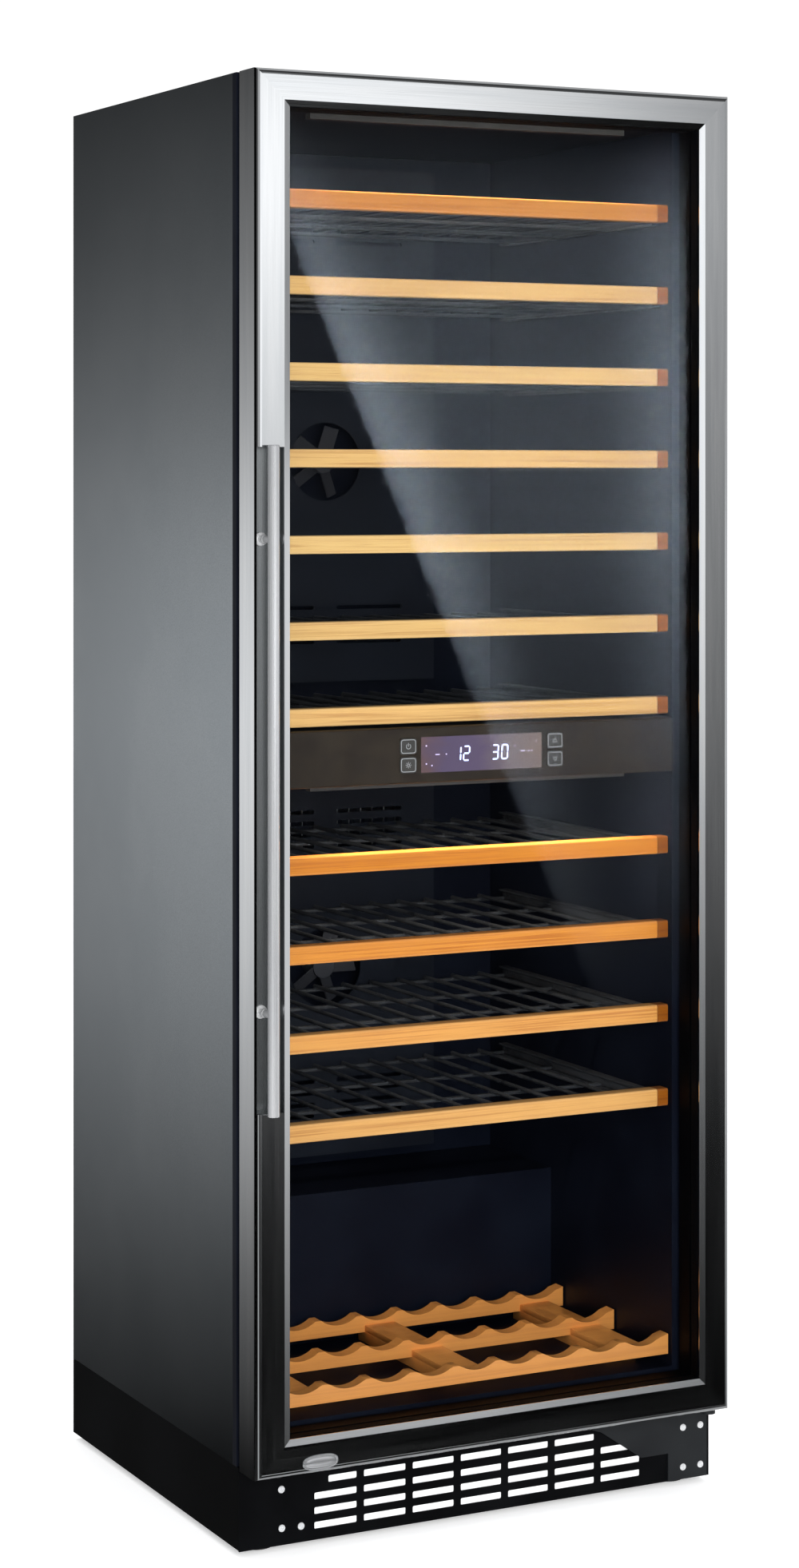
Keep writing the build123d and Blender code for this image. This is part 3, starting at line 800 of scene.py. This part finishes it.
# --------------------------------------------------------------------- handle
low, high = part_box("handle_bar")
bar_x, bar_y, bar_r = (low.x + high.x) / 2, (low.y + high.y) / 2, (high.x - low.x) / 2
length = high.z - low.z
END_ROUND = ((1.6, 0.0), (0.9, 0.1), (0.25, 0.6), (0.0, 1.5))  # inset and reach, mm
profile = [(bar_r - inset * MM, reach * MM) for inset, reach in END_ROUND]
profile += [(radius, length - reach) for radius, reach in profile[::-1]]
bar = bmesh.new()
add_rings(bar, turned((bar_x, bar_y, low.z), (0, 0, 1), profile, 48))
make("handle_rod", bar, slot_materials["handle_steel"], "door", ("handle_bar",))

# posts with a raised ring and a wide base against the door
POST = 4.0 * MM
low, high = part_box("handle_posts")
reach = high.y - low.y
profile = [
    (POST, 0.0),
    (POST, reach - 14 * MM),
    (4.6 * MM, reach - 13.4 * MM),
    (4.6 * MM, reach - 12.4 * MM),
    (POST, reach - 11.8 * MM),
    (POST, reach - 4 * MM),
    (7.0 * MM, reach - 3.2 * MM),
    (7.4 * MM, reach - 2.6 * MM),
    (7.4 * MM, reach - 0.1 * MM),
]
posts = bmesh.new()
for z in (low.z + POST, high.z - POST):
    add_rings(posts, turned((bar_x, low.y, z), (0, 1, 0), profile, 28))
make(
    "handle_stems",
    posts,
    slot_materials["screw_metal"],
    "door",
    ("handle_posts",),
)

# ----------------------------------------------------------------- name plate
low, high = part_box("name_plate")
middle = ((low.x + high.x) / 2, high.y, (low.z + high.z) / 2)
half_x, half_z = (high.x - low.x) / 2, (high.z - low.z) / 2
SQUARENESS = 2.6  # 2 is an ellipse, more is squarer
# a raised rim, a groove and a crowned middle: inset and rise in millimetres
BADGE = (
    (0.0, 0.0), (0.0, 0.5), (0.35, 0.9), (1.1, 1.0), (1.6, 0.85),
    (2.0, 0.5), (2.6, 0.5), (4.0, 0.75), (6.2, 0.95), (8.2, 1.0),
)


def oval(inset, rise):
    """Ring of the blank badge, a soft-cornered oval."""
    a, b = half_x - inset, half_z - inset
    ring = []
    for k in range(64):
        turn = 2 * math.pi * k / 64
        c, s = math.cos(turn), math.sin(turn)
        power = abs(c / a) ** SQUARENESS + abs(s / b) ** SQUARENESS
        reach = power ** (-1 / SQUARENESS)
        ring.append((middle[0] + reach * c, middle[1] - rise, middle[2] + reach * s))
    return ring


plate = bmesh.new()
add_rings(plate, [oval(inset * MM, rise * MM) for inset, rise in BADGE])
badge_metal = slot_materials["badge_metal"]
make("blank_badge", plate, badge_metal, "door", ("name_plate",))


# --------------------------------------------------------------------- screws
def add_screw(bm, centre, facing, radius, height):
    """Pan-head screw with a cross recess. `centre` is on the seat."""
    arm, web = radius * 0.62, radius * 0.17

    def cross(scale):
        def reach(turn):
            c, s = abs(math.cos(turn)), abs(math.sin(turn))
            return scale * min(arm, web / max(min(c, s), 1e-6))

        return reach

    profile = [(radius * 0.96, 0.0), (radius, height * 0.16)]
    for k in range(1, 5):
        turn = math.radians(15 * k)
        rise = height * (0.16 + 0.84 * math.sin(turn))
        profile.append((radius * math.cos(turn) ** 0.8, rise))
    profile += [
        (radius * 0.70, height * 0.985),
        (cross(1.0), height),
        (cross(0.86), height - height * 0.28),
        (cross(0.5), height - height * 0.55),
    ]
    add_rings(bm, turned(centre, facing, profile, 48))


# plinth: three on the grille at the left, four on the hinge bracket at the right,
# x and z in millimetres
GRILLE_SCREWS = ((-247.5, 67.5), (-247.0, 25.5), (-224.0, 24.5))
BRACKET_SCREWS = ((260.5, 67.5), (284.0, 67.5), (260.5, 22.0), (284.0, 22.0))
BRACKET = 3 * MM  # thickness of the bracket's plate, on the grille's face
grille_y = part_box("kick_grille")[0].y
screw_metal = slot_materials["screw_metal"]
screws = bmesh.new()
for places, y in ((GRILLE_SCREWS, grille_y), (BRACKET_SCREWS, grille_y - BRACKET)):
    for x, z in places:
        add_screw(screws, (x * MM, y, z * MM), (0, -1, 0), 4.0 * MM, 2.2 * MM)
make("plinth_screw_heads", screws, screw_metal, "cabinet", ("plinth_screws",))

# rear panel: six down each side, three along the top and the bottom
SIDE_IN, SIDE_END, ROW_IN, SIDE_COUNT = 9 * MM, 20 * MM, 12 * MM, 6
low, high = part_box("rear_panel")
side_pitch = (high.z - low.z - 2 * SIDE_END) / (SIDE_COUNT - 1)
rear_places = [
    (x, low.z + SIDE_END + side_pitch * k)
    for x in (low.x + SIDE_IN, high.x - SIDE_IN)
    for k in range(SIDE_COUNT)
]
rear_places += [(x, z) for x in (-0.14, 0.0, 0.14) for z in (low.z + ROW_IN, high.z - ROW_IN)]
rear_screws = bmesh.new()
for x, z in rear_places:
    add_screw(rear_screws, (x, high.y - 0.2 * MM, z), (0, 1, 0), 3.6 * MM, 1.4 * MM)
make("rear_screw_heads", rear_screws, screw_metal, "cabinet")

# -------------------------------------------------------------- control panel
low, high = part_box("display_window")
glass_y = low.y
mid_z = (low.z + high.z) / 2
SEGMENTS = {"0": "abcdef", "1": "bc", "2": "abged", "3": "abgcd"}
SLANT = 0.06  # of the digits to the right
GAP = 0.35 * MM  # between the segments of a digit
# places along X, and for the marks also above the window's middle, in millimetres
DIGITS = (("1", -30.5), ("2", -19.5), ("3", 17.0), ("0", 29.0))
DASHES = (-56.0, 52.0)
DOTS = ((-70, 10), (-70, -10), (-63, -12), (-45, 0), (42, 6), (60, 0), (64, 0), (69, 10))
DOT = ((0.9, -0.05), (0.9, 0.08), (0.6, 0.12))  # radius and rise


def add_segment(bm, a, b, wide):
    """Lit bar with pointed ends between two points of the window's plane."""
    a, b = Vector((a[0], 0, a[1])), Vector((b[0], 0, b[1]))
    along = (b - a).normalized()
    across = Vector((-along.z, 0, along.x)) * wide / 2
    tip = along * wide / 2
    outline = (a, a + tip + across, b - tip + across, b, b - tip - across, a + tip - across)
    rings = [
        [Vector((p.x, glass_y + dy, p.z)) for p in outline]
        for dy in (-0.12 * MM, 0.05 * MM)
    ]
    add_rings(bm, rings)


def add_digit(bm, figure, x, z, wide, tall, stroke):
    """Seven-segment figure centred on (x, z)."""
    w, h = wide / 2, tall / 2
    lines = {
        "a": ((-w + GAP, h), (w - GAP, h)),
        "b": ((w, h - GAP), (w, GAP)),
        "c": ((w, -GAP), (w, -h + GAP)),
        "d": ((w - GAP, -h), (-w + GAP, -h)),
        "e": ((-w, -h + GAP), (-w, -GAP)),
        "f": ((-w, GAP), (-w, h - GAP)),
        "g": ((-w + GAP, 0), (w - GAP, 0)),
    }
    for key in SEGMENTS[figure]:
        a, b = ((x + px + SLANT * pz, z + pz) for px, pz in lines[key])
        add_segment(bm, a, b, stroke)


digits = bmesh.new()
for figure, x in DIGITS:
    add_digit(digits, figure, x * MM, mid_z, 7.2 * MM, 15.5 * MM, 1.8 * MM)
make("display_digits", digits, digit_light, "cabinet")

icons = bmesh.new()
for x in DASHES:
    add_segment(icons, ((x - 3) * MM, mid_z), ((x + 3) * MM, mid_z), 1.1 * MM)
dot = [(radius * MM, rise * MM) for radius, rise in DOT]
for x, z in DOTS:
    add_rings(icons, turned((x * MM, glass_y, mid_z + z * MM), (0, -1, 0), dot, 12))
make("display_marks", icons, icon_light, "cabinet")


def add_outline(bm, half_x, half_z, corner, wide, place, high_y, deep):
    """Raised rounded-rectangle line round a key's face."""
    away_x, away_z = half_x - corner, half_z - corner
    corners = ((away_x, away_z), (-away_x, away_z), (-away_x, -away_z), (away_x, -away_z))

    def loop(inset, y):
        ring = []
        r = corner - inset
        for quarter, (cx, cz) in enumerate(corners):
            for k in range(7):
                turn = math.radians(90 * quarter + 15 * k)
                x = place[0] + cx + r * math.cos(turn)
                ring.append((x, y, place[1] + cz + r * math.sin(turn)))
        return ring

    rings = [
        loop(0.0, high_y + deep),
        loop(0.0, high_y),
        loop(wide, high_y),
        loop(wide, high_y + deep),
    ]
    add_rings(bm, rings + rings[:1], False, False)
    bmesh.ops.remove_doubles(bm, verts=bm.verts, dist=1e-6)


def add_symbol(bm, kind, x, z, y):
    """Generic key symbols, drawn as thin raised lines."""
    size = 3.0 * MM
    line = 0.4 * MM

    def stroke(*points):
        add_tube(bm, [(px, y, pz) for px, pz in points], line, 8)

    def polar(reach, degrees):
        turn = math.radians(degrees)
        return x + reach * math.cos(turn), z + reach * math.sin(turn)

    if kind in ("up", "down"):
        flip = 1 if kind == "up" else -1
        base, tip = z - flip * size * 0.6, z + flip * size * 0.9
        corners = [(x - size, base), (x + size, base), (x, tip)]
        for a, b in zip(corners, corners[1:] + corners[:1]):
            stroke(a, b)
    elif kind == "power":  # a ring open at the top, with a bar in the opening
        stroke(*(polar(size * 0.9, 120 + 300 * k / 20) for k in range(21)))
        stroke((x, z), (x, z + size * 1.25))
    else:  # a small ring with eight rays
        stroke(*(polar(size * 0.45, 360 * k / 20) for k in range(21)))
        for k in range(8):
            stroke(polar(size * 0.75, 45 * k), polar(size * 1.15, 45 * k))


MARGIN = 1.3 * MM  # from a key's edge to the line round it
for kind in ("power", "light", "up", "down"):
    node = f"key_{kind}"
    low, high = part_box(node)
    x, z = (low.x + high.x) / 2, (low.z + high.z) / 2
    marks = bmesh.new()
    add_outline(
        marks,
        (high.x - low.x) / 2 - MARGIN,
        (high.z - low.z) / 2 - MARGIN,
        corner=3.0 * MM,
        wide=0.8 * MM,
        place=(x, z),
        high_y=low.y - 0.12 * MM,
        deep=0.3 * MM,
    )
    add_symbol(marks, kind, x, z, low.y)
    make(f"{node}_marks", marks, rim_paint, f"{node}_cap")

# ------------------------------------------------ softened edges of CAD pieces
def ease_edges(name, width, segments, angle, *nodes):
    """Bevels the edges of CAD pieces that are sharper than an angle in degrees."""
    for node in nodes:
        soft = frame["nodes"][node].modifiers.new(name, "BEVEL")
        soft.width = width
        soft.segments = segments
        soft.limit_method = "ANGLE"
        soft.angle_limit = math.radians(angle)


SHEETS = ("side_panel_left", "side_panel_right", "top_panel", "kick_grille")
MEMBERS = ("door_rail_top", "door_rail_bottom", "door_stile_left", "door_stile_right")
ease_edges("folded_edge", 0.5 * MM, 2, 50, *SHEETS)
ease_edges("eased_edge", 0.3 * MM, 1, 60, *MEMBERS)

# ---------------------------------------------------------------------- stage
# The camera's place, turn, lens and shift come from a perspective fit of the door
# and the cabinet.
CAMERA = Vector((-1.72195, -3.38545, 1.16280))
camera = bpy.data.objects.new("camera", bpy.data.cameras.new("camera"))
scene.collection.objects.link(camera)
scene.camera = camera
camera.location = CAMERA
camera.rotation_euler = (math.radians(90), 0, math.radians(-27.03))
camera.data.lens = 74.26
camera.data.shift_y = -0.1966
camera.data.clip_end = 60


def flat(name, corners, finish, **visible):
    """Stage sheet from four corners, seen only by the kinds of ray given."""
    mesh = bpy.data.meshes.new(name)
    mesh.from_pydata([tuple(c) for c in corners], [], [(0, 1, 2, 3)])
    mesh.materials.append(finish)
    obj = bpy.data.objects.new(name, mesh)
    scene.collection.objects.link(obj)
    for kind in ("camera", "diffuse", "glossy", "transmission", "shadow"):
        setattr(obj, f"visible_{kind}", visible.get(kind, False))
    return obj


FLOOR = 14.0  # half the floor's width, in metres
paper = surface(
    "floor_paper",
    (0.93, 0.93, 0.93),
    (0.95, 0.95, 0.95),
    (0.8, 0.95),
    drift=2.0,
    Emission_Color=(1, 1, 1, 1),
    Emission_Strength=0.42,
)
floor = flat(
    "floor",
    ((-FLOOR, -FLOOR, 0), (FLOOR, -FLOOR, 0), (FLOOR, FLOOR, 0), (-FLOOR, FLOOR, 0)),
    paper,
    camera=True,
    diffuse=True,
    shadow=True,
)

# World: white behind the object, even fill for matt surfaces, and soft bands
# of light and dark for the steel to mirror. Each band is a brightness by height
# times a brightness by direction round the object, in degrees.
HIGHEST = 60  # degrees above and below the horizon that the bands' heights span
BACKDROP, FILL, BANDS = 1.1, 0.72, 1.75  # strengths
world = bpy.data.worlds.new("studio")
scene.world = world
world.use_nodes = True
world.cycles.sampling_method = "NONE"  # so that each kind of ray sees its own sky
sky = world.node_tree
sky.nodes.clear()
ray = add(sky, "LightPath").outputs
direction = add(sky, "TexCoord").outputs["Generated"]
axes = add(sky, "SeparateXYZ", Vector=direction).outputs
turn = calc(sky, "ARCTAN2", axes[0], calc(sky, "MULTIPLY", axes[1], -1.0))
turn = span(sky, turn, -math.pi, math.pi, 0.0, 1.0)
rise = calc(sky, "ARCSINE", axes[2])
rise = span(sky, rise, math.radians(-HIGHEST), math.radians(HIGHEST), 0.0, 1.0)


def around(*stops):
    """Brightness by direction round the object: 0 is in front, +90 its right."""
    return ramp(sky, turn, *(((a + 180) / 360, v) for a, v in stops), mode="EASE")


def upwards(*stops):
    """Brightness by height of the direction above the horizon, in degrees."""
    return ramp(sky, rise, *(((a + HIGHEST) / (2 * HIGHEST), v) for a, v in stops))


# what the door's face, its rounded corner and the cabinet's left side mirror
front_height = upwards(
    (-40, 0.0), (-15, 0.0), (-12, 0.01), (-10, 0.05), (-7.5, 0.15), (-4.6, 0.29),
    (0, 0.55), (3, 0.74), (5, 0.92), (7.2, 1.0), (8.5, 0.44), (10.5, 0.2), (25, 0.18),
    (60, 0.08),
)
front_round = around(
    (-180, 0.0), (-100, 0.0), (-60, 0.1), (-30, 0.3), (-8, 0.9), (12, 1.0), (24.5, 1.0),
    (26.4, 0.96), (27.7, 0.88), (29, 0.75), (30.4, 0.58), (31.7, 0.40), (33, 0.27),
    (45, 0.28), (60, 0.3), (100, 0.1), (180, 0.0),
)
rear_height = upwards(
    (-40, 0.0), (-17, 0.0), (-13.8, 0.17), (-11, 0.48), (-8.3, 0.77), (-4.2, 1.0),
    (-1.4, 0.86), (0, 0.66), (1.3, 0.47), (3.7, 0.26), (5.7, 0.17), (7.3, 0.08),
    (10, 0.03), (60, 0.1),
)
rear_round = around(
    (-180, 0.10), (-162, 0.15), (-158.7, 0.36), (-155.8, 0.66), (-152, 0.5),
    (-146, 0.1), (-122, 0.0), (75, 0.0), (100, 0.4), (150, 0.7), (158, 0.4),
    (180, 0.10),
)
# what the right lip mirrors
centre_height = upwards(
    (-16, 0.0), (-10, 0.07), (-4.6, 0.18), (0.5, 0.26), (5, 0.0), (9, 0.0)
)
centre_round = around(
    (-180, 0.0), (-25, 0.0), (0, 1.0), (10, 1.0), (20, 0.0), (180, 0.0)
)
# low and side light for the panels, seen from behind and from above
low_height = upwards((-60, 0.30), (-23, 0.36), (-18.5, 0.0), (60, 0.0))
low_round = around(
    (-180, 1.0), (-172, 0.9), (-162, 0.0), (-148, 0.0), (-135, 0.8), (-90, 1.0), (0, 1.0),
    (14, 0.0), (42, 0.0), (56, 0.8), (180, 1.0),
)
side_height = upwards(
    (-30, 0.0), (-22, 0.32), (-8, 0.26), (0, 0.16), (12, 0.14), (60, 0.25)
)
side_round = around(
    (-180, 0.0), (-60, 0.0), (-52, 1.0), (-38, 1.0), (-30, 0.0), (62, 0.0), (78, 1.0),
    (150, 1.0), (180, 0.5),
)
# what the left lip and the top lip mirror
lip_height = upwards(
    (-18, 0.0), (-15.9, 0.06), (-13.6, 0.2), (-11.6, 0.32), (-10.7, 0.5), (-5, 0.46),
    (-0.4, 0.4), (0.8, 0.1), (3, 0.0), (60, 0.0),
)
lip_round = around(
    (-180, 0.0), (40, 0.0), (46, 1.0), (60, 1.0), (67, 0.0), (180, 0.0)
)
under_height = upwards((-34, 0.0), (-28, 1.0), (-23, 1.0), (-21, 0.0), (60, 0.0))
under_round = around(
    (-180, 0.0), (10, 0.0), (20, 0.5), (25.5, 0.48), (28, 0.3), (31.7, 0.14), (45, 0.0),
    (180, 0.0),
)
mirrored = blend_colours(sky, 1.0, front_height, front_round, "MULTIPLY")
for tall, wide in (
    (rear_height, rear_round),
    (centre_height, centre_round),
    (low_height, low_round),
    (side_height, side_round),
    (lip_height, lip_round),
    (under_height, under_round),
):
    band = blend_colours(sky, 1.0, tall, wide, "MULTIPLY")
    mirrored = blend_colours(sky, 1.0, mirrored, band, "ADD")


def choose(ray_kind, otherwise, then):
    """Sky that one kind of ray sees, and the sky for all others."""
    mix = add(sky, "MixShader", Fac=ray[ray_kind])
    sky.links.new(otherwise.outputs[0], mix.inputs[1])
    sky.links.new(then.outputs[0], mix.inputs[2])
    return mix


backdrop = add(sky, "Background", Color=(1.0, 1.0, 1.0, 1.0), Strength=BACKDROP)
fill = add(sky, "Background", Color=(0.97, 0.98, 1.0, 1.0), Strength=FILL)
bands = add(sky, "Background", Color=mirrored, Strength=BANDS)
light_on_object = choose("Is Glossy Ray", fill, bands)
finish_with(sky, choose("Is Camera Ray", light_on_object, backdrop), add(sky, "OutputWorld"))


def lamp(name, at, towards, size, watts, colour=(1, 1, 1)):
    """Rectangular soft light that the steel and glass don't mirror."""
    data = bpy.data.lights.new(name, "AREA")
    data.shape = "RECTANGLE"
    data.size, data.size_y = size
    data.energy = watts
    data.color = colour
    obj = bpy.data.objects.new(name, data)
    scene.collection.objects.link(obj)
    obj.location = at
    obj.rotation_euler = (Vector(towards) - Vector(at)).to_track_quat("-Z", "Y").to_euler()
    obj.visible_glossy = False
    obj.visible_camera = False
    return obj


WARM = (1.0, 0.86, 0.68)
lamp("key", (-1.2, -4.6, 1.5), (0, 0, 0.9), (2.2, 2.4), 225)
overhead = lamp("overhead", (0.7, 1.3, 3.3), (-0.3, -0.6, 0), (2.0, 2.0), 55)
low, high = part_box("led_strips")
for z in (high.z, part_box("control_fascia")[0].z):  # ceiling of each zone
    lamp(
        f"zone_light_{z:.1f}",
        (0, low.y + 6 * MM, z - 8 * MM),
        (0, low.y + 0.02, z - 0.5),
        (0.4, 0.012),
        1.6,
        WARM,
    )

# Sheet of light that only the glass mirrors: a slanting edge, brightest along
# it, fading to the right, upwards and downwards. It is drawn in the door's own
# plane and enlarged to where that plane's mirror image of it stands.
CARD_Y = -4.0
CARD_X, CARD_LOW, CARD_HIGH = 0.30, 0.5, 1.62  # before it is enlarged
EDGE_SLOPE, EDGE_FOOT = -0.4456, 0.3823  # the slanting edge: x = slope * z + foot
RIGHT_END = 0.24
BRIGHTNESS = 620.0
pane_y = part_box("outer_glass")[0].y
mirror_eye = 2 * pane_y - CAMERA.y
enlarge = (mirror_eye - CARD_Y) / (mirror_eye - pane_y)
haze, tree, out, where = start("window_light")
x, _, z = add(tree, "SeparateXYZ", Vector=where).outputs
edge_x = calc(tree, "MULTIPLY_ADD", z, EDGE_SLOPE, EDGE_FOOT)
past = calc(tree, "SUBTRACT", x, edge_x)
inside = calc(
    tree,
    "MULTIPLY",
    span(tree, past, -0.002, 0.003, 0.0, 1.0, True),
    span(tree, x, RIGHT_END - 0.0015, RIGHT_END + 0.0015, 1.0, 0.0, True),
)
near_edge = span(tree, past, 0.0, 0.10, 0.075, 0.0, True)
right = span(tree, x, 0.12, 0.26, 0.0, 0.06, True)
fan = calc(tree, "ADD", calc(tree, "ADD", near_edge, right), 0.03)
height = ramp(
    tree,
    span(tree, z, 0.55, 1.56, 0.0, 1.0),
    (0.0, 0.0), (0.10, 0.06), (0.25, 0.2), (0.42, 0.52), (0.55, 1.0), (0.72, 1.1),
    (0.86, 0.75), (0.93, 0.3), (0.98, 0.05), (1.0, 0.0),
)
glow = calc(tree, "MULTIPLY", calc(tree, "MULTIPLY", fan, inside), height)
glow = calc(tree, "MULTIPLY", glow, BRIGHTNESS)
light = add(tree, "Emission", Color=(0.80, 0.88, 1.0, 1.0), Strength=glow)
clear = add(tree, "BsdfTransparent")
both = add(tree, "AddShader")
tree.links.new(light.outputs[0], both.inputs[0])
tree.links.new(clear.outputs[0], both.inputs[1])
finish_with(tree, both, out)
card = flat(
    "window_light",
    (
        (-CARD_X, 0, CARD_LOW),
        (CARD_X, 0, CARD_LOW),
        (CARD_X, 0, CARD_HIGH),
        (-CARD_X, 0, CARD_HIGH),
    ),
    haze,
    glossy=True,
)
card.scale = (enlarge,) * 3
card.location = (
    CAMERA.x * (1 - enlarge),
    CARD_Y,
    CAMERA.z * (1 - enlarge),
)


def light_only(source, name, *targets):
    """Lets a lamp or sheet light nothing but the given objects."""
    lit = bpy.data.collections.new(name)
    for target in targets:
        lit.objects.link(target)
    source.light_linking.receiver_collection = lit


panes = [frame["nodes"][node] for node in ("outer_glass", "inner_glass")]
light_only(overhead, "floor_only", floor)
light_only(card, "glass_only", *panes)

bpy.context.view_layer.update()
